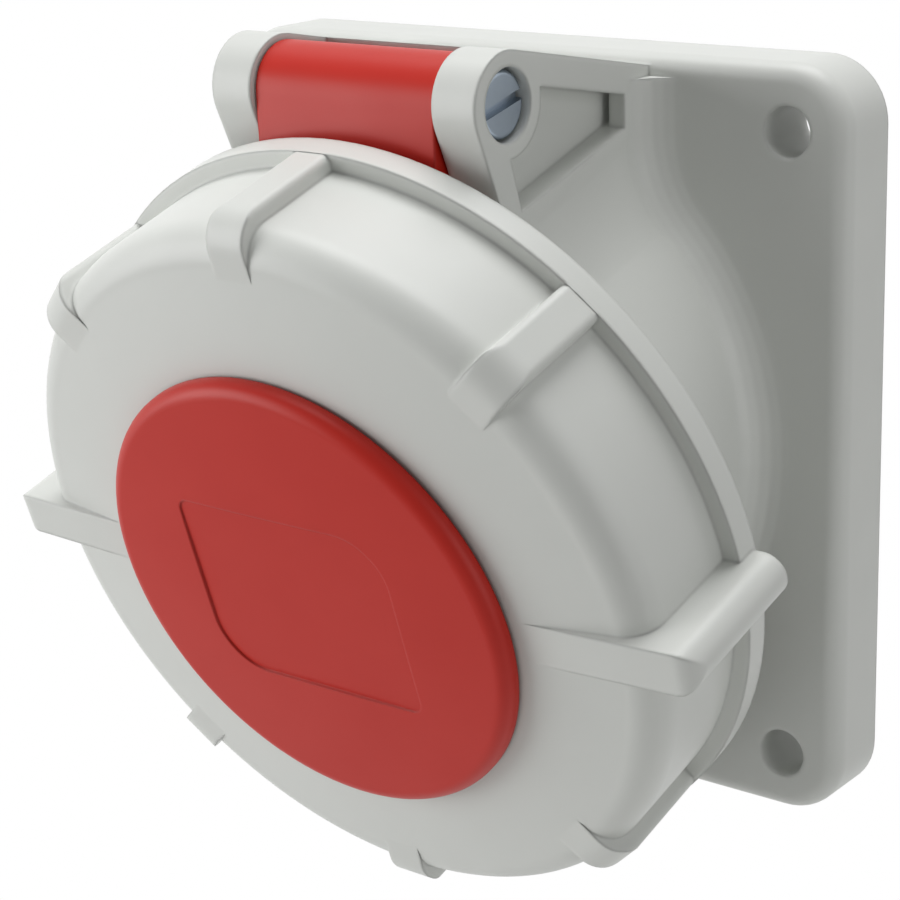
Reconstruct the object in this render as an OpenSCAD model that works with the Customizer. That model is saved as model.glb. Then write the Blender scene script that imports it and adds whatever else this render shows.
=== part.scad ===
// Angled panel socket, five pins, with a hinged lid and a bayonet ring.
// Origin: centre of the flange's back face. Front is -Y, up is +Z, millimetres.

/* [Flange] */
// Width and height of the square flange
flange_w = 84; // [82:0.5:92]
// Thickness of the flange
flange_t = 8.7; // [7:0.1:11]
// Corner radius of the flange, seen from the front
flange_corner_r = 7; // [5:0.5:8]
// Rounding of the flange's front edge
flange_edge_r = 2; // [0.8:0.1:2.5]
// Distance of the fixing holes' centres from the flange's edges
hole_inset = 7; // [6:0.5:7.5]
// Diameter of the fixing holes
hole_d = 5.5; // [4.3:0.1:6]
// Width of the gasket
gasket_w = 2.8; // [2:0.1:3.2]
// Depth of the gasket's groove in the back face
gasket_t = 1.6; // [1:0.1:2.5]
// Distance of the gasket's centre line from the flange's edges
gasket_inset = 5.8; // [5.5:0.1:6.2]
// Corner radius of the gasket's centre line
gasket_corner_r = 17; // [16:0.5:19]

/* [Neck and collar] */
// Downward tilt of the socket from the panel's normal
face_tilt = 16.7; // [12:0.1:18]
// Height of the socket's axis where it leaves the flange's front face
socket_rise = 0.7; // [0:0.1:1.5]
// Outer diameter of the neck and collar
collar_d = 63; // [62:0.2:64]
// Inner diameter of the collar, round the plug
collar_bore = 58.6; // [58:0.1:59]
// Reach of the collar's mouth in front of the flange, along the axis
collar_reach = 32; // [31:0.2:33]
// Radius of the soft root between the neck and the flange
root_r = 4.6; // [3:0.2:5]
// Height of the inner shoulder that clamps the insert, along the axis
shoulder_z = 0.6; // [0.4:0.1:2]
// Thickness of the inner shoulder
shoulder_t = 4; // [3:0.2:6]
// Inner diameter of the shoulder
shoulder_bore = 46.4; // [45:0.2:47]
// Width of the key groove at the foot of the collar's bore
key_w = 5; // [4:0.2:6]
// Depth of the key groove into the collar's wall
key_depth = 1.5; // [1:0.1:2]

/* [Bayonet] */
// Height of the two lugs on the collar
lug_h = 4.1; // [3.5:0.1:4.4]
// Length of a lug along the axis
lug_l = 3; // [2:0.1:4]
// Distance of the lugs behind the collar's mouth
lug_set = 3; // [2.5:0.1:4]
// Angle covered by a lug
lug_angle = 10; // [7:0.5:12]
// Place of the first lug, clockwise from the top
lug_place = 119; // [117:1:121]
// Angle covered by a ramp in the ring
ramp_angle = 48; // [40:1:50]
// Angle between a ramp's leading end and the lug, ring released
ramp_gap = 11; // [9:0.5:14]
// Rise of the ramp's face from end to end
ramp_rise = 2.2; // [1.5:0.1:3]
// Turn of the ring from released to locked
lock_turn = 50; // [45:1:55]

/* [Hinge] */
// Distance of the hinge axis in front of the flange's back face
hinge_reach = 33.6; // [33:0.1:34.5]
// Height of the hinge axis above the centre
hinge_rise = 40.3; // [40:0.1:41.5]
// Width of the hinge block over both ears
ear_span = 35; // [34:0.2:36]
// Clear width between the ears
ear_gap = 24.2; // [22:0.2:25]
// Offset of the hinge to the right of the socket's axis
hinge_shift = 0.5; // [0:0.1:0.8]
// Distance of the slot's rear wall behind the knuckle
slot_back = 3; // [1:0.2:4]
// Radius of the round end of each ear
ear_r = 5.45; // [5:0.05:5.8]
// Depth of the pocket in each ear's outer side
pocket_depth = 3; // [2:0.1:3.5]
// Thickness of the rib along the top of each ear
ear_rib_t = 3.3; // [2.5:0.1:4]
// Thickness of the strut that carries each ear
strut_t = 3.2; // [2.5:0.1:4]
// Lean of the strut's front edge from square to the socket's axis
strut_lean = 6; // [3:0.5:8]
// Fall of the hinge block's top towards the flange
block_fall = 11.4; // [9:0.2:13]
// Radius of the blend between the hinge block and the neck
saddle_r = 15; // [8:0.5:15]
// Height of the pocket's floor above the socket's axis
pocket_floor = 34; // [33:0.2:35]
// Diameter of the hinge screw's shank
hinge_d = 4; // [3.5:0.1:4.5]
// Diameter of the hinge screw's head
hinge_head_d = 7; // [6.4:0.1:7.2]
// Height of the hinge screw's head
hinge_head_t = 2.7; // [2.2:0.1:2.9]
// Depth of the recesses for the screw's head and the nut
head_recess = 3.4; // [3:0.1:4]
// Width across the flats of the hinge nut
nut_af = 7; // [6.4:0.1:7.2]
// Thickness of the hinge nut
nut_t = 2.8; // [2.2:0.1:3]

/* [Lid] */
// Radius of the lid's knuckle
knuckle_r = 4.85; // [4.4:0.05:5]
// Thickness of the lid's closing plate
lid_plate_t = 2.4; // [2:0.1:2.6]
// Thickness of the sealing ring in the lid
seal_t = 2.2; // [1.6:0.1:2.6]
// Radial width of the lid's sealing ring
seal_w = 5; // [4:0.2:5.4]
// Diameter of the boss that carries the locking ring
boss_d = 43; // [40:0.5:44]
// Wall of that boss
boss_wall = 2.6; // [2:0.1:3]
// Diameter of the lid's front cap
cap_d = 53; // [50:0.2:54]
// Thickness of the front cap at its edge
cap_t = 2.1; // [1.6:0.1:2.6]
// Rounding of the front cap's edge
cap_edge_r = 1.6; // [1:0.1:2]
// Rise of the front cap's face from its edge to its middle
cap_crown = 0.5; // [0.3:0.1:0.8]
// Width of the shallow field in the cap
field_w = 27.6; // [24:0.2:29]
// Height of the shallow field in the cap
field_h = 21.6; // [18:0.2:23]
// Depth of the shallow field
field_depth = 0.4; // [0.2:0.05:0.6]
// Radius of the field's two round corners
field_round_r = 6; // [4:0.2:8]
// Radius of the field's two tight corners
field_tight_r = 1.4; // [0.8:0.1:2]

/* [Locking ring] */
// Diameter of the ring's rear rim
rim_d = 87; // [86:0.2:88.5]
// Thickness of the rear rim
rim_t = 3; // [2.5:0.1:3.5]
// Diameter of the ring's drum
drum_d = 83.2; // [82.4:0.1:84]
// Bore of the ring's drum
drum_bore = 77; // [76.6:0.1:77.4]
// Height of the drum from the rim to the start of its shoulder
drum_h = 10.9; // [10.5:0.1:11.4]
// Rounding of the drum's front shoulder
shoulder_r = 3.8; // [3:0.1:4.2]
// Rise of the ring's front face from the shoulder to the cap
face_rise = 1.6; // [1.2:0.1:2]
// Thickness of the ring's front wall
front_wall = 2.8; // [2.4:0.1:3]
// Number of places round the ring: six ribs and two wings
rib_places = 8; // [8:8]
// Width of a rib
rib_w = 4.8; // [4:0.1:6]
// Rounding of a rib's outer edges
rib_edge_r = 0.8; // [0.4:0.1:1.5]
// Thickness of a wing
wing_t = 5; // [4:0.1:6]
// Reach of the wings from the axis
wing_reach = 47; // [46:0.2:49]
// Radius of a wing's front corner
wing_corner_r = 2.4; // [1.6:0.1:3]
// Fall of a wing's front edge from the cap to its tip
wing_drop = 0.9; // [0.6:0.1:1.4]
// Height of the ring's rear face above the flange's front face, along the axis
ring_z = 20; // [19.8:0.05:20.4]

/* [Insert] */
// Diameter of the insert's front body, inside the plug
insert_d = 48.6; // [48:0.1:49]
// Height of the insert's front face above the flange's front face
insert_face_z = 25; // [24:0.2:26]
// Circle through the middle of the five contacts
contact_circle_d = 32; // [31:0.2:33]
// Diameter of a line pin
line_pin_d = 5; // [4.6:0.1:5.2]
// Diameter of the earth pin
earth_pin_d = 7; // [6.4:0.1:7.2]
// Wall of a contact sleeve
sleeve_wall = 1.1; // [0.9:0.05:1.3]
// Depth of the sleeves' mouths behind the insert's face
sleeve_set = 3; // [2:0.2:5]
// Length of the slits in a sleeve
slit_l = 14; // [10:0.5:18]
// Width of the slits
slit_w = 0.7; // [0.5:0.1:1]
// Length of the insert's rear body, behind the shoulder
rear_l = 28; // [26:0.5:32]
// Diameter of the insert's rear body
rear_d = 51; // [50:0.5:53]
// Diameter of the rear body's clamping collar
clamp_d = 57.6; // [56:0.2:57.8]
// Thickness of the clamping collar
clamp_t = 5; // [4:0.2:6]
// Diameter of the wire holes
wire_d = 4.2; // [3:0.1:4.6]
// Depth of the wire holes
wire_l = 9; // [7:0.5:11]
// Diameter of the terminal screws
term_d = 3.4; // [3:0.1:3.8]
// Distance of the terminal screws from the rear end
term_set = 4.6; // [4:0.2:6]
// Diameter of the two screws that clamp the insert
clamp_screw_d = 3.5; // [3:0.1:4]
// Half the distance between those two screws
clamp_screw_x = 5.6; // [5:0.1:6]

/* [Clearances] */
// Gap between moving parts
run_gap = 0.4; // [0.3:0.05:0.5]
// Gap at each end of the knuckle
end_gap = 0.3; // [0.25:0.05:0.4]
// Radial gap of the hinge screw in its bores
pin_gap = 0.05; // [0.02:0.01:0.1]
// Gap round pieces that are fitted once
fit_gap = 0.1; // [0.05:0.01:0.15]
// Gap between the lid's seal and the collar's mouth
seal_gap = 0.3; // [0.2:0.05:0.4]

/* [Hidden] */

$fn = 64;
// Facets on small round sections
soft_fn = 24;
// Overlap that joins or cuts two bodies cleanly
eps = 0.01;
// Depth that a soft blend sinks into the faces it joins
sink = 0.05;

shell_grey = [0.80, 0.81, 0.79];
lid_red = [0.74, 0.14, 0.10];
seal_black = [0.12, 0.12, 0.12];
insert_grey = [0.20, 0.21, 0.22];
brass = [0.80, 0.66, 0.35];
steel = [0.62, 0.65, 0.68];

hole_pitch = flange_w - 2 * hole_inset;
gasket_span = flange_w - 2 * gasket_inset;
neck_r = collar_d / 2;
bore_r = collar_bore / 2;
lug_z = collar_reach - lug_set - lug_l;
ear_x = ear_span / 2;
gap_x = ear_gap / 2;
knuckle_x = gap_x - end_gap;
hinge_r = hinge_d / 2;

// Hinge axis in the socket's own frame: height above the axis, and distance along it
hinge_dy = flange_t - hinge_reach;
hinge_dz = hinge_rise - socket_rise;
hinge_v = -hinge_dy * sin(face_tilt) + hinge_dz * cos(face_tilt);
hinge_z = -hinge_dy * cos(face_tilt) - hinge_dz * sin(face_tilt);

rim_r = rim_d / 2;
drum_r = drum_d / 2;
drum_in_r = drum_bore / 2;
rim_front_z = ring_z + rim_t;
face_edge_z = rim_front_z + drum_h + shoulder_r;
face_top_z = face_edge_z + face_rise;
wall_in_z = face_top_z - front_wall;
boss_r = boss_d / 2;
cap_r = cap_d / 2;

lid_front_z = wall_in_z - run_gap;
lid_back_z = lid_front_z - lid_plate_t;
lid_r = drum_in_r - run_gap;
arm_in_r = neck_r + run_gap;
seal_mid_r = (neck_r + bore_r) / 2;
seal_z = collar_reach + seal_gap;
seal_in_r = seal_mid_r - seal_w / 2;
seal_out_r = seal_mid_r + seal_w / 2;

ramp_in_r = neck_r + lug_h / 2 - run_gap / 2;
ramp_back_z = ring_z + 2;
ramp_mid = lug_place - lug_angle / 2 - ramp_gap - ramp_angle / 2;
ramp_slope = atan(ramp_rise / (2 * drum_in_r * sin(ramp_angle / 2)));
ramp_reach = drum_in_r * sin(lock_turn - ramp_gap - ramp_angle / 2);
ramp_z = lug_z - run_gap / 2 - ramp_reach * tan(ramp_slope);

insert_r = insert_d / 2;
shoulder_in_r = shoulder_bore / 2;
rear_end_z = shoulder_z - rear_l;
contact_r = contact_circle_d / 2;
sleeve_mouth_z = insert_face_z - sleeve_set;
term_z = rear_end_z + term_set;
// Angle of each contact, clockwise from the top: earth at the foot, lines following clockwise
contact_step = 360 / 5;
PE = 180;
L1 = PE + contact_step;
L2 = PE + 2 * contact_step;
L3 = PE + 3 * contact_step;
N = PE + 4 * contact_step;
contact_angles = [PE, L1, L2, L3, N];

// ---- frames ----

// The socket's own frame: x to the right, y up in the mouth's plane, z out along the axis
module on_socket() {
    translate([0, -flange_t, socket_rise])
        rotate([90 + face_tilt, 0, 0])
            children();
}

// Along the hinge axis, +z to the right, in the socket's own frame
module on_hinge() {
    translate([hinge_shift, hinge_v, hinge_z])
        rotate([0, 90, 0])
            children();
}

// Turns children clockwise from the top about the socket's axis
module clockwise(angle) {
    rotate([0, 0, -angle])
        children();
}

// A flat shape drawn in (y, z), given a width across x
module across(width) {
    rotate([90, 0, 90])
        translate([0, 0, -width / 2])
            linear_extrude(width)
                children();
}

// The same on both sides, from inner_x to outer_x
module both_sides(inner_x, outer_x) {
    for (side = [-1, 1])
        translate([side * (inner_x + outer_x) / 2, 0, 0])
            across(outer_x - inner_x)
                children();
}

module tube(outer_r, inner_r, low_z, high_z) {
    translate([0, 0, low_z])
        difference() {
            cylinder(r = outer_r, h = high_z - low_z);
            translate([0, 0, -1])
                cylinder(r = inner_r, h = high_z - low_z + 2);
        }
}

// A piece of a tube between two angles, clockwise from the top
module tube_sector(outer_r, inner_r, low_z, high_z, mid, span) {
    clockwise(mid)
        translate([0, 0, low_z])
            rotate([0, 0, 90 - span / 2])
                rotate_extrude(angle = span)
                    translate([inner_r, 0])
                        square([outer_r - inner_r, high_z - low_z]);
}

module rounded_rectangle(width, height, radius) {
    square([width - 2 * radius, height], center = true);
    square([width, height - 2 * radius], center = true);
    for (x = [-1, 1], y = [-1, 1])
        translate([x * (width / 2 - radius), y * (height / 2 - radius)])
            circle(radius);
}

// ---- housing ----

// Half section of the flange's edge: a straight side that rounds into the front face
module edge_section(width) {
    square([width, flange_t - flange_edge_r]);
    square([width - flange_edge_r, flange_t]);
    translate([width - flange_edge_r, flange_t - flange_edge_r])
        intersection() {
            circle(flange_edge_r);
            square(flange_edge_r);
        }
}

// Plate with rounded corners and a rounded front edge: a middle bar, two side bars, four corners
module flange_plate() {
    corner_at = flange_w / 2 - flange_corner_r;
    rotate([90, 0, 0]) {
        across(2 * corner_at) {
            edge_section(flange_w / 2);
            mirror([1, 0])
                edge_section(flange_w / 2);
        }
        for (side = [0, 180])
            rotate(side)
                translate([corner_at, corner_at, 0])
                    rotate([90, 0, 0])
                        linear_extrude(2 * corner_at)
                            edge_section(flange_corner_r);
        for (turn = [0 : 3])
            rotate(turn * 90)
                translate([corner_at, corner_at, 0])
                    rotate_extrude(angle = 90)
                        edge_section(flange_corner_r);
    }
}

// ---- soft root: a ball of radius root_r rolled round the foot of the block and neck ----

root_steps = 48;
blend_steps = 8;
root_arc = 6;
root_depth = 2;
// Height along the block's sides at which the root meets the flange's rounded top edge
root_top = (flange_w / 2 - flange_edge_r - socket_rise - 6 * sink
            + root_r * tan(face_tilt)) * cos(face_tilt);

// Distance of the ball's centre from the faces it rolls on
ball_r = root_r - sink;

// Centre of the blend between the round neck and a flat side at side_x
function blend_centre(side_x) =
    let (x = side_x + saddle_r)
    [x, sqrt(pow(neck_r + saddle_r - sink, 2) - pow(x, 2))];

// Frames of the roll, each with the side's facing (clockwise from the top) and the ball's place
function side_frames(side_x) =
    let (at = blend_centre(side_x), span = atan2(at[1], at[0]), roll_r = saddle_r - ball_r)
    concat([[90, side_x + ball_r, root_top]],
           [for (i = [0 : blend_steps])
               let (turn = span * i / blend_steps)
               [90 - turn, at[0] - roll_r * cos(turn), at[1] - roll_r * sin(turn)]]);
function mirrored(frames) =
    [for (i = [len(frames) - 1 : -1 : 0]) [360 - frames[i][0], -frames[i][1], frames[i][2]]];
right_frames = side_frames(ear_x + hinge_shift);
left_frames = mirrored(side_frames(ear_x - hinge_shift));
neck_from = right_frames[len(right_frames) - 1][0];
neck_to = left_frames[0][0];
neck_frames = [for (i = [1 : root_steps - 1])
    let (turn = neck_from + (neck_to - neck_from) * i / root_steps)
    [turn, (neck_r + ball_r) * sin(turn), (neck_r + ball_r) * cos(turn)]];
root_frames = concat(right_frames, neck_frames, left_frames);

// A direction and a place given in the socket's own frame, turned into the row's frame
function outward(turn) = [sin(turn), -sin(face_tilt) * cos(turn), cos(face_tilt) * cos(turn)];
function placed(x, y, z) = [x, -flange_t - z * cos(face_tilt) - y * sin(face_tilt),
                            socket_rise - z * sin(face_tilt) + y * cos(face_tilt)];
function ball_at(frame) =
    placed(frame[1], frame[2], (ball_r - frame[2] * sin(face_tilt)) / cos(face_tilt));
function root_point(frame, k) =
    let (sweep = acos(sin(face_tilt) * cos(frame[0])),
         side_part = -sin((1 - k) * sweep) * outward(frame[0]),
         flange_part = sin(k * sweep) * [0, 1, 0])
    ball_at(frame) + root_r * (side_part + flange_part) / sin(sweep);
function root_section(frame) =
    let (inside = root_point(frame, 0) - root_depth * outward(frame[0]),
         behind = root_depth - flange_t)
    concat([inside],
           [for (k = [0 : root_arc]) root_point(frame, k / root_arc)],
           [root_point(frame, 1) + [0, root_depth, 0]],
           [[inside[0], behind, inside[2]]]);

module root_blend() {
    count = root_arc + 4;
    last = len(root_frames) - 1;
    points = [for (frame = root_frames) each root_section(frame)];
    skin = [for (i = [0 : last - 1], j = [0 : count - 1])
        let (a = i * count + j, b = i * count + (j + 1) % count)
        each [[a, b, b + count], [a, b + count, a + count]]];
    first_cap = [for (j = [0 : count - 3]) [count - 1, j + 1, j]];
    last_cap = [for (j = [0 : count - 3])
        [last * count + count - 1, last * count + j, last * count + j + 1]];
    polyhedron(points, concat(skin, first_cap, last_cap), convexity = 8);
}

// Side view of the hinge block in the socket's frame, as (height, distance along the axis)
block_angle = block_fall + face_tilt;
top_dir = [-sin(block_angle), -cos(block_angle)];
top_out = [cos(block_angle), -sin(block_angle)];
front_dir = [-cos(strut_lean), -sin(strut_lean)];
front_out = [-sin(strut_lean), cos(strut_lean)];
hinge_at = [hinge_v, hinge_z];
block_l = hinge_reach / cos(block_fall);
strut_l = hinge_v - pocket_floor + 7;

module block_side() {
    top = hinge_at + ear_r * top_out;
    front = hinge_at + ear_r * front_out;
    foot = front + strut_l * front_dir;
    translate(hinge_at)
        circle(ear_r);
    polygon([top, hinge_at, front, foot, [foot[0], -flange_t - 8], top + block_l * top_dir]);
}

// The pocket in an ear's side, bounded by the rib, the round end, the strut and the floor
module pocket_side() {
    roof = hinge_at + (ear_r - ear_rib_t) * top_out;
    wall = hinge_at + (ear_r - strut_t) * front_out;
    strut_z = hinge_z + 1.4;
    tip_l = (roof[0] - pocket_floor) / sin(block_angle);
    difference() {
        polygon([[pocket_floor, strut_z], [wall[0], strut_z], hinge_at, roof,
                 roof + tip_l * top_dir]);
        translate(hinge_at)
            circle(ear_r);
    }
}

// Section across the socket's axis that blends the hinge block into the round neck
module saddle_section() {
    translate([hinge_shift - ear_x + sink, 0])
        square([ear_span - 2 * sink, pocket_floor - 1]);
    for (side = [-1, 1])
        mirror([side < 0 ? 1 : 0, 0])
            saddle_side(ear_x + side * hinge_shift - sink);
}

// Front end of the saddle, just behind the ring
saddle_front_z = ring_z - 2;

// One side of the saddle, beside a flat side at side_x
module saddle_side(side_x) {
    blend_at = blend_centre(side_x);
    difference() {
        polygon([[0, blend_at[1]], blend_at, blend_at * neck_r / (neck_r + saddle_r), [0, 0]]);
        translate(blend_at)
            circle(saddle_r);
    }
}

module hinge_block() {
    difference() {
        union() {
            translate([hinge_shift, 0, 0])
                across(ear_span)
                    block_side();
            translate([0, 0, -flange_t - 8])
                linear_extrude(saddle_front_z + flange_t + 8)
                    saddle_section();
        }
        translate([hinge_shift, 0, 0]) {
            ear_pockets();
            hinge_room();
            slot_notches();
        }
    }
}

module ear_pockets() {
    for (side = [-1, 1])
        translate([side * (ear_x - pocket_depth / 2 + 0.5), 0, 0])
            across(pocket_depth + 1)
                pocket_side();
}

// Room between the ears for the knuckle and for the lid's arm as it swings
module hinge_room() {
    back_z = hinge_z - knuckle_r - slot_back;
    across(ear_gap)
        polygon([[hinge_v - knuckle_r, back_z], [hinge_v + 2 * ear_r, back_z],
                 [hinge_v + 2 * ear_r, ring_z + 9], [neck_r - 4, ring_z + 9],
                 [neck_r - 4, arm_back_z - run_gap]]);
}

// Two small notches in the top edge of the slot's rear wall
module slot_notches() {
    back_z = hinge_z - knuckle_r - slot_back;
    for (x = [notch_left, notch_right])
        translate([x, hinge_v + ear_r, back_z])
            rotate([0, 0, 45])
                cube([notch_w, notch_w, 3 * notch_w], center = true);
}
notch_left = -5;
notch_right = 4;
notch_w = 1.6;

module collar_lugs() {
    for (turn = [0, 180])
        tube_sector(neck_r + lug_h, neck_r - 1, lug_z, lug_z + lug_l, lug_place + turn, lug_angle);
}

module gasket_path(width) {
    difference() {
        rounded_rectangle(gasket_span + width, gasket_span + width, gasket_corner_r + width / 2);
        rounded_rectangle(gasket_span - width, gasket_span - width, gasket_corner_r - width / 2);
    }
}

module behind_panel() {
    translate([-flange_w, 0, -flange_w])
        cube([2 * flange_w, flange_w, 2 * flange_w]);
}

module housing() color(shell_grey) {
    difference() {
        union() {
            flange_plate();
            root_blend();
            on_socket() {
                translate([0, 0, -flange_t - 12])
                    cylinder(r = neck_r, h = collar_reach + flange_t + 12);
                hinge_block();
                collar_lugs();
            }
        }
        behind_panel();
        on_socket() {
            translate([0, 0, shoulder_z + shoulder_t])
                cylinder(r = bore_r, h = collar_reach);
            translate([0, 0, -flange_w / 2])
                cylinder(r = shoulder_in_r, h = flange_w);
            translate([0, 0, shoulder_z - flange_w / 2])
                cylinder(r = bore_r, h = flange_w / 2);
            translate([-key_w / 2, -bore_r - key_depth, shoulder_z + shoulder_t])
                cube([key_w, bore_r, collar_reach]);
            on_hinge() {
                cylinder(r = hinge_r + pin_gap, h = 2 * ear_span, center = true);
                translate([0, 0, ear_x - head_recess])
                    cylinder(r = hinge_head_d / 2 + 0.3, h = head_recess + 1);
                translate([0, 0, -ear_x - 1])
                    cylinder(r = nut_r + fit_gap, h = head_recess + 1, $fn = 6);
            }
        }
        rotate([90, 0, 0])
            translate([0, 0, -1])
                linear_extrude(gasket_t + 1)
                    gasket_path(gasket_w + 2 * fit_gap);
        for (x = [-1, 1], z = [-1, 1])
            translate([x * hole_pitch / 2, 1, z * hole_pitch / 2])
                rotate([90, 0, 0])
                    cylinder(d = hole_d, h = flange_t + 2);
    }
}
nut_r = nut_af / 2 / cos(30);

module flange_gasket() color(seal_black) {
    rotate([90, 0, 0])
        linear_extrude(gasket_t)
            gasket_path(gasket_w);
}

// ---- hinge screw and nut ----

module hinge_screw() color(steel) {
    slot_w = 1.1;
    slot_depth = 1;
    slot_turn = 4;
    head_x = ear_x - head_recess;
    on_socket()
        on_hinge()
            difference() {
                union() {
                    translate([0, 0, head_recess - nut_t - ear_x])
                        cylinder(r = hinge_r, h = head_x + ear_x + nut_t - head_recess + eps);
                    translate([0, 0, head_x])
                        pan_head(hinge_head_d / 2, hinge_head_t, hinge_head_t / 5);
                }
                translate([0, 0, head_x + hinge_head_t])
                    rotate([0, 0, -slot_turn])
                        cube([2 * hinge_head_d, slot_w, 2 * slot_depth], center = true);
            }
}

// Round head with a rounded edge
module pan_head(radius, height, edge) {
    rotate_extrude() {
        square([radius, height - edge]);
        square([radius - edge, height]);
        intersection() {
            translate([radius - edge, height - edge])
                circle(edge);
            square([radius, height]);
        }
    }
}

module hinge_nut() color(steel) {
    on_socket()
        on_hinge()
            translate([0, 0, head_recess - nut_t - ear_x])
                difference() {
                    cylinder(r = nut_r, h = nut_t, $fn = 6);
                    translate([0, 0, -1])
                        cylinder(r = hinge_r + pin_gap, h = nut_t + 2);
                }
}

// ---- lid ----

arm_front_z = ring_z - run_gap;
arm_t = 4.6;
arm_back_z = arm_front_z - arm_t;

// Side view of the arm: its front is upright and touches the knuckle, its foot passes the rim
module arm_side() {
    front = hinge_at + knuckle_r * [sin(face_tilt), cos(face_tilt)];
    drop = (arm_front_z - front[1]) / sin(face_tilt);
    bend = front + drop * [-cos(face_tilt), sin(face_tilt)];
    translate(hinge_at)
        circle(knuckle_r);
    polygon([hinge_at, front, bend, [neck_r - 4, arm_front_z], [neck_r - 4, arm_back_z]]);
}

module lid_arm() {
    difference() {
        translate([hinge_shift, 0, 0]) {
            across(2 * knuckle_x)
                arm_side();
            intersection() {
                translate([-knuckle_x, 0, arm_back_z + 1])
                    cube([2 * knuckle_x, 2 * neck_r, lid_front_z - arm_back_z - 1]);
                translate([-hinge_shift, 0, 0])
                    cylinder(r = lid_r, h = 2 * neck_r);
            }
        }
        translate([0, 0, -1])
            cylinder(r = arm_in_r, h = lid_back_z + 1);
    }
}

module lid() color(lid_red) {
    on_socket()
        difference() {
            union() {
                translate([0, 0, lid_back_z])
                    cylinder(r = lid_r, h = lid_plate_t);
                translate([0, 0, lid_front_z - eps])
                    cylinder(r = boss_r, h = face_top_z + run_gap - lid_front_z + eps);
                tube(seal_out_r + 2, seal_out_r, seal_z, lid_back_z + eps);
                tube(seal_in_r, seal_in_r - 2, seal_z - 1, lid_back_z + eps);
                lid_arm();
            }
            tube(seal_out_r, seal_in_r, seal_z - 1, seal_z + seal_t + fit_gap);
            translate([0, 0, lid_back_z + 1.2])
                cylinder(r = boss_r - boss_wall, h = face_top_z);
            on_hinge()
                cylinder(r = hinge_r + pin_gap, h = ear_span, center = true);
        }
}

module lid_seal() color(seal_black) {
    on_socket()
        tube(seal_out_r - fit_gap, seal_in_r + fit_gap, seal_z, seal_z + seal_t);
}

// Field with two round and two tight corners, opposite each other
module cap_field() {
    square([field_w - 2 * field_round_r, field_h], center = true);
    square([field_w, field_h - 2 * field_round_r], center = true);
    for (turn = [0, 180])
        rotate(turn) {
            translate([field_w / 2 - field_round_r, field_h / 2 - field_round_r])
                circle(field_round_r);
            translate([-field_w / 2, field_h / 2 - field_round_r])
                square([field_round_r, field_round_r - field_tight_r]);
            translate([-field_w / 2 + field_tight_r, 0])
                square([field_round_r, field_h / 2]);
            translate([-field_w / 2 + field_tight_r, field_h / 2 - field_tight_r])
                circle(field_tight_r);
        }
}

module lid_cap() color(lid_red) {
    spigot_r = boss_r - boss_wall - fit_gap;
    spigot_l = 3;
    spigot_wall = 2;
    base_z = face_top_z + run_gap;
    crown_r = (pow(cap_r - cap_edge_r, 2) + pow(cap_crown, 2)) / (2 * cap_crown);
    on_socket()
        difference() {
            union() {
                translate([0, 0, base_z])
                    rotate_extrude() {
                        square([cap_r, cap_t - cap_edge_r]);
                        square([cap_r - cap_edge_r, cap_t]);
                        intersection() {
                            translate([cap_r - cap_edge_r, cap_t - cap_edge_r])
                                circle(cap_edge_r);
                            square([cap_r, cap_t]);
                        }
                        intersection() {
                            translate([0, cap_t + cap_crown - crown_r])
                                circle(crown_r, $fn = 4 * $fn);
                            square([cap_r - cap_edge_r, cap_t + cap_crown]);
                        }
                    }
                tube(spigot_r, spigot_r - spigot_wall, base_z - spigot_l, base_z + eps);
            }
            translate([0, 0, base_z + cap_t + cap_crown - field_depth])
                linear_extrude(1)
                    cap_field();
        }
}

// ---- locking ring ----

// Half section of the ring: rim, drum, round shoulder and a slightly coned front
module ring_section() {
    shoulder_at = [drum_r - shoulder_r, rim_front_z + drum_h];
    polygon([[drum_in_r, ring_z], [rim_r, ring_z], [rim_r, rim_front_z], [drum_r, rim_front_z],
             [drum_r, shoulder_at[1]], [drum_in_r, shoulder_at[1]]]);
    polygon([[boss_r + run_gap, wall_in_z], [shoulder_at[0], wall_in_z],
             [shoulder_at[0], face_edge_z], [cap_r, face_top_z], [boss_r + run_gap, face_top_z]]);
    intersection() {
        translate(shoulder_at)
            circle(shoulder_r);
        polygon([[shoulder_at[0], wall_in_z], [drum_in_r - run_gap, wall_in_z],
                 [drum_in_r, wall_in_z - run_gap], [drum_in_r, shoulder_at[1]],
                 [drum_r, shoulder_at[1]], [drum_r, face_edge_z], [shoulder_at[0], face_edge_z]]);
    }
}

// Side view of a fin: from its foot in the ring's face, out to a rounded front corner
module fin_side(foot, tip, corner_r) {
    root_r = drum_in_r + 1;
    corner_at = tip - [corner_r, corner_r];
    polygon([[root_r, fin_back_z], [tip[0], fin_back_z], [tip[0], corner_at[1]], corner_at,
             [corner_at[0], tip[1]], foot, [foot[0], fin_floor_z], [root_r, fin_floor_z]]);
    intersection() {
        translate(corner_at)
            circle(corner_r, $fn = soft_fn);
        translate(corner_at)
            square(corner_r);
    }
}
fin_back_z = ring_z + 0.5;
// The fins' feet stay inside the front wall
fin_floor_z = wall_in_z + front_wall / 5;

// Front view of a fin: a bar whose outer end has rounded corners
module fin_front(width, reach, end_r) {
    translate([cap_r, -width / 2])
        square([reach - end_r - cap_r, width]);
    translate([cap_r, end_r - width / 2])
        square([reach - cap_r, width - 2 * end_r]);
    for (side = [-1, 1])
        translate([reach - end_r, side * (width / 2 - end_r)])
            circle(end_r);
}

// A rib or wing along +x
module fin(width, foot, tip, corner_r, end_r) {
    intersection() {
        rotate([90, 0, 0])
            translate([0, 0, -width])
                linear_extrude(2 * width)
                    fin_side(foot, tip, corner_r);
        translate([0, 0, ring_z])
            linear_extrude(2 * (face_top_z - ring_z))
                fin_front(width, tip[0], end_r);
    }
}

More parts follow.
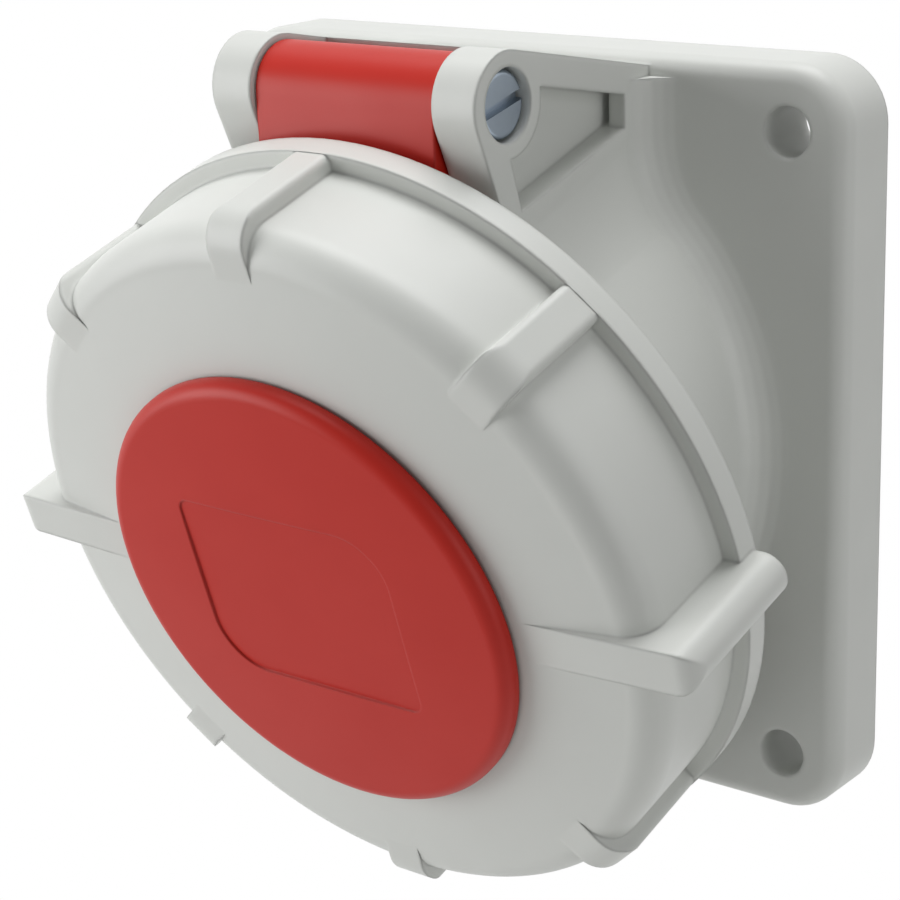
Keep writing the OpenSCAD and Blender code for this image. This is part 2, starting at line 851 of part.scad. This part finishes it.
module rib() {
    top_z = face_edge_z + 0.15;
    foot = [drum_r - shoulder_r - 3, top_z];
    fin(rib_w, foot, [rim_r - 0.1, top_z], shoulder_r, rib_edge_r);
}

module wing() {
    foot = [cap_r - 1, face_top_z - 0.12];
    fin(wing_t, foot, [wing_reach, face_top_z - wing_drop], wing_corner_r, wing_t / 2 - 0.1);
}

// A bayonet ramp: a piece of tube whose front face slopes along its length
module ramp() {
    intersection() {
        tube_sector(drum_in_r + 1, ramp_in_r, ramp_back_z, collar_reach, 0, ramp_angle);
        translate([0, drum_in_r, ramp_z])
            rotate([0, ramp_slope, 0])
                translate([0, 0, -drum_in_r])
                    cube(2 * drum_in_r, center = true);
    }
}

module locking_ring() color(shell_grey) {
    on_socket() {
        rotate_extrude()
            ring_section();
        for (i = [0 : rib_places - 1])
            clockwise(i * 360 / rib_places)
                rotate([0, 0, 90])
                    if (i % (rib_places / 2) == rib_places / 4)
                        wing();
                    else
                        rib();
        for (turn = [0, 180])
            clockwise(ramp_mid + turn)
                ramp();
    }
}

// ---- insert ----

function pin_r(angle) = (angle == PE ? earth_pin_d : line_pin_d) / 2;
function sleeve_r(angle) = pin_r(angle) + pin_gap + sleeve_wall;

// Puts children at a contact's axis, with +y pointing away from the socket's axis
module at_contact(angle) {
    clockwise(angle)
        translate([0, contact_r, 0])
            children();
}

module sleeve_holes(gap) {
    for (angle = contact_angles)
        at_contact(angle)
            translate([0, 0, rear_end_z - 1])
                cylinder(r = sleeve_r(angle) + gap, h = sleeve_mouth_z - rear_end_z + 1 + gap);
}

module contact_carrier() color(insert_grey) {
    spigot_r = shoulder_in_r - fit_gap;
    base_z = shoulder_z + shoulder_t;
    on_socket()
        difference() {
            union() {
                translate([0, 0, base_z])
                    cylinder(r = insert_r, h = insert_face_z - base_z);
                translate([0, 0, shoulder_z])
                    cylinder(r = spigot_r, h = shoulder_t + eps);
            }
            sleeve_holes(fit_gap);
            for (angle = contact_angles)
                at_contact(angle)
                    cylinder(r = pin_r(angle) + 0.4, h = insert_face_z + 1);
            for (x = [-1, 1])
                translate([x * clamp_screw_x, 0, -1])
                    cylinder(r = clamp_screw_d / 2 + pin_gap, h = shoulder_z + 14);
        }
}

module rear_carrier() color(insert_grey) {
    on_socket()
        difference() {
            union() {
                translate([0, 0, rear_end_z])
                    cylinder(r = rear_d / 2, h = rear_l);
                translate([0, 0, shoulder_z - clamp_t])
                    cylinder(r = clamp_d / 2, h = clamp_t);
            }
            sleeve_holes(fit_gap);
            for (angle = contact_angles)
                at_contact(angle)
                    translate([0, 0, term_z])
                        rotate([-90, 0, 0])
                            cylinder(r = term_d / 2 + 0.5, h = rear_d);
            for (x = [-1, 1])
                translate([x * clamp_screw_x, 0, 0]) {
                    translate([0, 0, rear_end_z - 1])
                        cylinder(r = clamp_screw_d / 2 + pin_gap, h = rear_l + 2);
                    translate([0, 0, rear_end_z - 1])
                        cylinder(r = clamp_screw_d * 0.95 + 0.3, h = rear_l / 2 + 1);
                }
            tube(carrier_seal_r + seal_section_r + fit_gap, carrier_seal_r - seal_section_r - fit_gap,
                 shoulder_z - 2 * seal_section_r - fit_gap, shoulder_z + 1);
        }
}

module carrier_seal() color(seal_black) {
    on_socket()
        translate([0, 0, shoulder_z - seal_section_r - eps])
            rotate_extrude()
                translate([carrier_seal_r, 0])
                    circle(seal_section_r, $fn = soft_fn);
}
seal_section_r = 0.7;
carrier_seal_r = (shoulder_in_r + clamp_d / 2) / 2;

module carrier_screws() color(steel) {
    head_z = rear_end_z + rear_l / 2;
    head_t = clamp_screw_d * 0.65;
    on_socket()
        for (x = [-1, 1])
            translate([x * clamp_screw_x, 0, head_z])
                difference() {
                    union() {
                        cylinder(r = clamp_screw_d / 2, h = shoulder_z + 12 - head_z);
                        translate([0, 0, eps])
                            rotate([180, 0, 0])
                                pan_head(clamp_screw_d * 0.95, head_t, head_t / 3);
                    }
                    translate([0, 0, -head_t])
                        cube([0.8, 4 * clamp_screw_d, 2], center = true);
                }
}

// A contact: slit sleeve in front, solid terminal with a wire hole and a screw hole behind
module contact(angle) {
    outer = sleeve_r(angle);
    inner = pin_r(angle) + pin_gap;
    on_socket()
        at_contact(angle)
            difference() {
                translate([0, 0, rear_end_z])
                    cylinder(r = outer, h = sleeve_mouth_z - rear_end_z);
                translate([0, 0, rear_end_z + 2 * wire_l])
                    cylinder(r = inner, h = sleeve_mouth_z);
                translate([0, 0, sleeve_mouth_z - slit_l / 2 + 1])
                    cube([3 * outer, slit_w, slit_l + 2], center = true);
                translate([0, 0, rear_end_z - 1])
                    cylinder(r = wire_d / 2, h = wire_l + 1);
                translate([0, 0, term_z])
                    rotate([-90, 0, 0])
                        cylinder(r = term_d / 2 + pin_gap, h = rear_d);
                translate([0, 0, sleeve_mouth_z - 4])
                    spring_ring(outer, 0.5);
            }
}

// Ring that closes the slit sleeve, half sunk in a groove
module spring_ring(radius, section_r) {
    rotate_extrude()
        translate([radius - 0.45, 0])
            circle(section_r, $fn = soft_fn);
}

module contact_l1() color(brass) contact(L1);
module contact_l2() color(brass) contact(L2);
module contact_l3() color(brass) contact(L3);
module contact_n() color(brass) contact(N);
module contact_pe() color(brass) contact(PE);

module contact_springs() color(steel) {
    on_socket()
        for (angle = contact_angles)
            at_contact(angle)
                translate([0, 0, sleeve_mouth_z - 4])
                    spring_ring(sleeve_r(angle), 0.45);
}

module terminal_screws() color(steel) {
    head_y = rear_d / 2 - contact_r - 0.6;
    on_socket()
        for (angle = contact_angles)
            at_contact(angle)
                translate([0, 0, term_z])
                    rotate([-90, 0, 0])
                        difference() {
                            translate([0, 0, clamp_top])
                                cylinder(r = term_d / 2, h = head_y - clamp_top);
                            translate([0, 0, head_y])
                                cube([0.7, 2 * term_d, 1.6], center = true);
                        }
}

// Small plates that each terminal screw presses on its wire
clamp_top = wire_d / 3;
module terminal_clamps() color(steel) {
    plate_t = 0.5;
    plate_w = wire_d * 0.62;
    on_socket()
        for (angle = contact_angles)
            at_contact(angle)
                translate([0, clamp_top - plate_t / 2 - pin_gap, term_z])
                    cube([plate_w, plate_t, 1.6 * term_d], center = true);
}

housing();
flange_gasket();
contact_carrier();
rear_carrier();
carrier_seal();
carrier_screws();
contact_l1();
contact_l2();
contact_l3();
contact_n();
contact_pe();
contact_springs();
terminal_screws();
terminal_clamps();
hinge_screw();
hinge_nut();
lid();
lid_seal();
lid_cap();
locking_ring();
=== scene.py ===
"""Dresses the angled panel socket: plastics, rubber, brass, steel, soft light, white ground."""

import math

import bpy
from mathutils import Matrix, Vector

MM = 0.001
RELIEF_DEPTH = 0.02 * MM    # how deep a grain or tooling mark is where its relief is 1
EDGE_SAMPLES = 6

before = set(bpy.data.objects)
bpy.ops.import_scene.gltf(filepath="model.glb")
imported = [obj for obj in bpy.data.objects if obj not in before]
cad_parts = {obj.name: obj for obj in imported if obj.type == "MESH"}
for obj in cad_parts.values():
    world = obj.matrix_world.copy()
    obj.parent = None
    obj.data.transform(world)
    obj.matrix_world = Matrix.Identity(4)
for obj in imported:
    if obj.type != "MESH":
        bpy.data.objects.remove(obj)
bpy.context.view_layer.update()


# ---- colours and nodes ----

def linear(colour):
    """A hex colour as it is seen on screen, turned into the shader's linear values."""
    values = [int(colour[i:i + 2], 16) / 255 for i in (1, 3, 5)]
    return [v / 12.92 if v <= 0.04045 else ((v + 0.055) / 1.055) ** 2.4 for v in values] + [1]


def add_node(material, kind, at, **sockets):
    """Adds one node at a place in the tree and sets its input sockets by name."""
    made = material.node_tree.nodes.new(kind)
    made.location = at
    for name, value in sockets.items():
        made.inputs[name.replace("_", " ")].default_value = value
    return made


def new_material(name):
    """A node material with its shader and output set out to the right."""
    material = bpy.data.materials.new(name)
    material.use_nodes = True
    shader = material.node_tree.nodes["Principled BSDF"]
    shader.location = (300, 0)
    material.node_tree.nodes["Material Output"].location = (620, 0)
    return material, shader


def grain_field(material, grain_mm, detail, at):
    """A noise field in the object's own coordinates, whose grains are about grain_mm wide."""
    place = add_node(material, "ShaderNodeTexCoord", (at[0] - 200, at[1]))
    noise = add_node(material, "ShaderNodeTexNoise", at,
                     Scale=1 / (grain_mm * MM), Detail=detail)
    material.node_tree.links.new(place.outputs["Object"], noise.inputs["Vector"])
    return noise


def tone_and_gloss(material, shader, patch_mm, detail, tones, gloss_range):
    """Patches about patch_mm wide, over which colour and roughness drift between two values."""
    links = material.node_tree.links
    clouds = grain_field(material, patch_mm, detail, (-700, 200))
    tone = add_node(material, "ShaderNodeMixRGB", (-200, 200),
                    Color1=linear(tones[0]), Color2=linear(tones[1]))
    links.new(clouds.outputs["Fac"], tone.inputs["Fac"])
    links.new(tone.outputs["Color"], shader.inputs["Base Color"])
    gloss = add_node(material, "ShaderNodeMapRange", (-200, -60),
                     To_Min=gloss_range[0], To_Max=gloss_range[1])
    links.new(clouds.outputs["Fac"], gloss.inputs["Value"])
    links.new(gloss.outputs["Result"], shader.inputs["Roughness"])


def fine_relief(material, shader, grain_mm, detail, relief):
    """A bump of grains about grain_mm wide. Returns its node, whose Normal input is free."""
    links = material.node_tree.links
    grain = grain_field(material, grain_mm, detail, (-450, -260))
    bump = add_node(material, "ShaderNodeBump", (0, -300), Strength=relief, Distance=RELIEF_DEPTH)
    links.new(grain.outputs["Fac"], bump.inputs["Height"])
    links.new(bump.outputs["Normal"], shader.inputs["Normal"])
    return bump


def moulded(name, colour, patch, roughness, grain_mm=0.35, relief=0.06, edge_mm=0.35, shine=0.5):
    """A moulded plastic: faint patches of tone, a fine eroded grain and softly broken edges."""
    material, shader = new_material(name)
    tone_and_gloss(material, shader, 9, 3, (colour, patch), (roughness - 0.04, roughness + 0.05))
    bump = fine_relief(material, shader, grain_mm, 4, relief)
    edge = add_node(material, "ShaderNodeBevel", (-450, -420), Radius=edge_mm * MM)
    edge.samples = EDGE_SAMPLES
    material.node_tree.links.new(edge.outputs["Normal"], bump.inputs["Normal"])
    shader.inputs["Specular IOR Level"].default_value = shine
    return material


def machined(name, colour, worn, roughness, grain_mm=0.25, relief=0.15):
    """A metal with fine tooling marks and slightly uneven tarnish."""
    material, shader = new_material(name)
    tone_and_gloss(material, shader, 2.5, 4, (colour, worn), (roughness - 0.06, roughness + 0.08))
    fine_relief(material, shader, grain_mm, 2, relief)
    shader.inputs["Metallic"].default_value = 1.0
    return material


# Injection-moulded polyamide: an even colour and a broad, dull sheen over a fine eroded grain.
# The grey shell's edges are rounder than the red lid's, and the red is the duller of the two.
shell_plastic = moulded("Light grey polyamide", "#D3D5D1", "#CFD1CD", 0.42, edge_mm=0.7)
lid_plastic = moulded("Red polyamide", "#BE200F", "#B71D0E", 0.42, edge_mm=0.4, shine=0.3)
# Glass-filled thermoset: dark, flat and a little coarser, with no clear highlight.
insert_plastic = moulded("Dark grey thermoset", "#3A3D40", "#34373A", 0.5, grain_mm=0.6)
# Moulded sealing rubber: nearly black and matt, with a soft uneven skin.
seal_rubber = moulded("Black sealing rubber", "#1B1B1C", "#232324", 0.7,
                      grain_mm=0.5, relief=0.2, edge_mm=0.2)
# Turned brass: warm, with narrow highlights. Zinc plating: cool and slightly blurred.
# Spring steel: the smoothest of the three and neutral in tone.
contact_brass = machined("Turned brass", "#D9B565", "#C9A24F", 0.28)
zinc_steel = machined("Blue zinc plated steel", "#A3ADB8", "#8F9AA6", 0.34)
spring_steel = machined("Spring steel", "#9A9EA3", "#85898F", 0.25)

finishes = {
    "housing": shell_plastic, "locking_ring": shell_plastic,
    "lid": lid_plastic, "lid_cap": lid_plastic,
    "lid_seal": seal_rubber, "flange_gasket": seal_rubber, "carrier_seal": seal_rubber,
    "contact_carrier": insert_plastic, "rear_carrier": insert_plastic,
    "contact_l1": contact_brass, "contact_l2": contact_brass, "contact_l3": contact_brass,
    "contact_n": contact_brass, "contact_pe": contact_brass,
    "contact_springs": spring_steel, "terminal_clamps": spring_steel,
    "carrier_screws": zinc_steel, "terminal_screws": zinc_steel,
    "hinge_screw": zinc_steel, "hinge_nut": zinc_steel,
}
for name, finish in finishes.items():
    solid = bpy.data.objects[name]
    solid.data.materials.clear()
    solid.data.materials.append(finish)


# ---- white ground ----

AMBIENT = 0.20
FLOOR_Z = -0.32             # well below the socket, which hangs on a wall
FLOOR_SIZE = 3


def seen_white(tree, plain, out):
    """Mixes a plain look with pure white for what the camera, gloss and glass see directly."""
    surface = out.name == "Material Output"
    path = tree.nodes.new("ShaderNodeLightPath")
    path.location = (-600, 300)
    either = tree.nodes.new("ShaderNodeMath")
    either.operation = "MAXIMUM"
    either.location = (-400, 300)
    seen = tree.nodes.new("ShaderNodeMath")
    seen.operation = "MAXIMUM"
    seen.location = (-220, 300)
    tree.links.new(path.outputs["Is Camera Ray"], either.inputs[0])
    tree.links.new(path.outputs["Is Glossy Ray"], either.inputs[1])
    tree.links.new(either.outputs[0], seen.inputs[0])
    tree.links.new(path.outputs["Is Transmission Ray"], seen.inputs[1])
    white = tree.nodes.new("ShaderNodeEmission" if surface else "ShaderNodeBackground")
    white.location = (-220, -150)
    white.inputs["Color"].default_value = (1, 1, 1, 1)
    white.inputs["Strength"].default_value = 1
    mix = tree.nodes.new("ShaderNodeMixShader")
    mix.location = (0, 100)
    tree.links.new(seen.outputs[0], mix.inputs["Fac"])
    tree.links.new(plain.outputs[0], mix.inputs[1])
    tree.links.new(white.outputs[0], mix.inputs[2])
    tree.links.new(mix.outputs[0], out.inputs["Surface"])


world = bpy.data.worlds.new("Studio")
bpy.context.scene.world = world
world.use_nodes = True
ambient = world.node_tree.nodes["Background"]
ambient.inputs["Color"].default_value = (1, 1, 1, 1)
ambient.inputs["Strength"].default_value = AMBIENT
seen_white(world.node_tree, ambient, world.node_tree.nodes["World Output"])

bpy.ops.mesh.primitive_plane_add(size=FLOOR_SIZE, location=(0, 0, FLOOR_Z))
floor = bpy.context.object
floor.name = "Pale floor"
floor_look, floor_shader = new_material("Pale floor")
floor_shader.inputs["Base Color"].default_value = linear("#F2F2F0")
floor_shader.inputs["Roughness"].default_value = 0.8
seen_white(floor_look.node_tree, floor_shader, floor_look.node_tree.nodes["Material Output"])
floor.data.materials.append(floor_look)


# ---- soft studio light ----

def soft_box(name, at, towards, width, height, power):
    """A rectangular soft light that faces a point."""
    lamp = bpy.data.lights.new(name, "AREA")
    lamp.shape = "RECTANGLE"
    lamp.size = width
    lamp.size_y = height
    lamp.energy = power
    box = bpy.data.objects.new(name, lamp)
    bpy.context.scene.collection.objects.link(box)
    box.location = at
    box.rotation_euler = (Vector(towards) - Vector(at)).to_track_quat("-Z", "Y").to_euler()


middle = (0, -0.02, 0)
soft_box("Overhead softbox", (-0.05, 0.04, 0.60), middle, 0.5, 0.4, 3.3)
soft_box("Front left softbox", (-0.34, -0.36, 0.04), middle, 0.3, 0.35, 1.45)
soft_box("Right fill", (0.60, -0.03, 0.08), middle, 0.35, 0.5, 0.75)


# ---- camera ----

# The view of a product picture: from the front right and a little above, through a long lens.
eye = Vector((159.51, -220.70, 78.75)) * MM
looked_at = Vector((0.38, -20.0, -9.01)) * MM
roll = math.radians(-2.13)
forward = (looked_at - eye).normalized()
level_right = forward.cross(Vector((0, 0, 1))).normalized()
level_up = level_right.cross(forward)
right = level_right * math.cos(roll) + level_up * math.sin(roll)
up = level_up * math.cos(roll) - level_right * math.sin(roll)
camera_data = bpy.data.cameras.new("Camera")
camera_data.sensor_width = 36
camera_data.lens = 94.997
camera_data.shift_x = -0.0212
camera_data.shift_y = 0.0655
camera_data.clip_start = 0.01
camera_data.clip_end = 10
camera = bpy.data.objects.new("Camera", camera_data)
bpy.context.scene.collection.objects.link(camera)
camera.matrix_world = Matrix((
    (right.x, up.x, -forward.x, eye.x),
    (right.y, up.y, -forward.y, eye.y),
    (right.z, up.z, -forward.z, eye.z),
    (0, 0, 0, 1)))
bpy.context.scene.camera = camera
bpy.context.scene.view_settings.view_transform = "Standard"
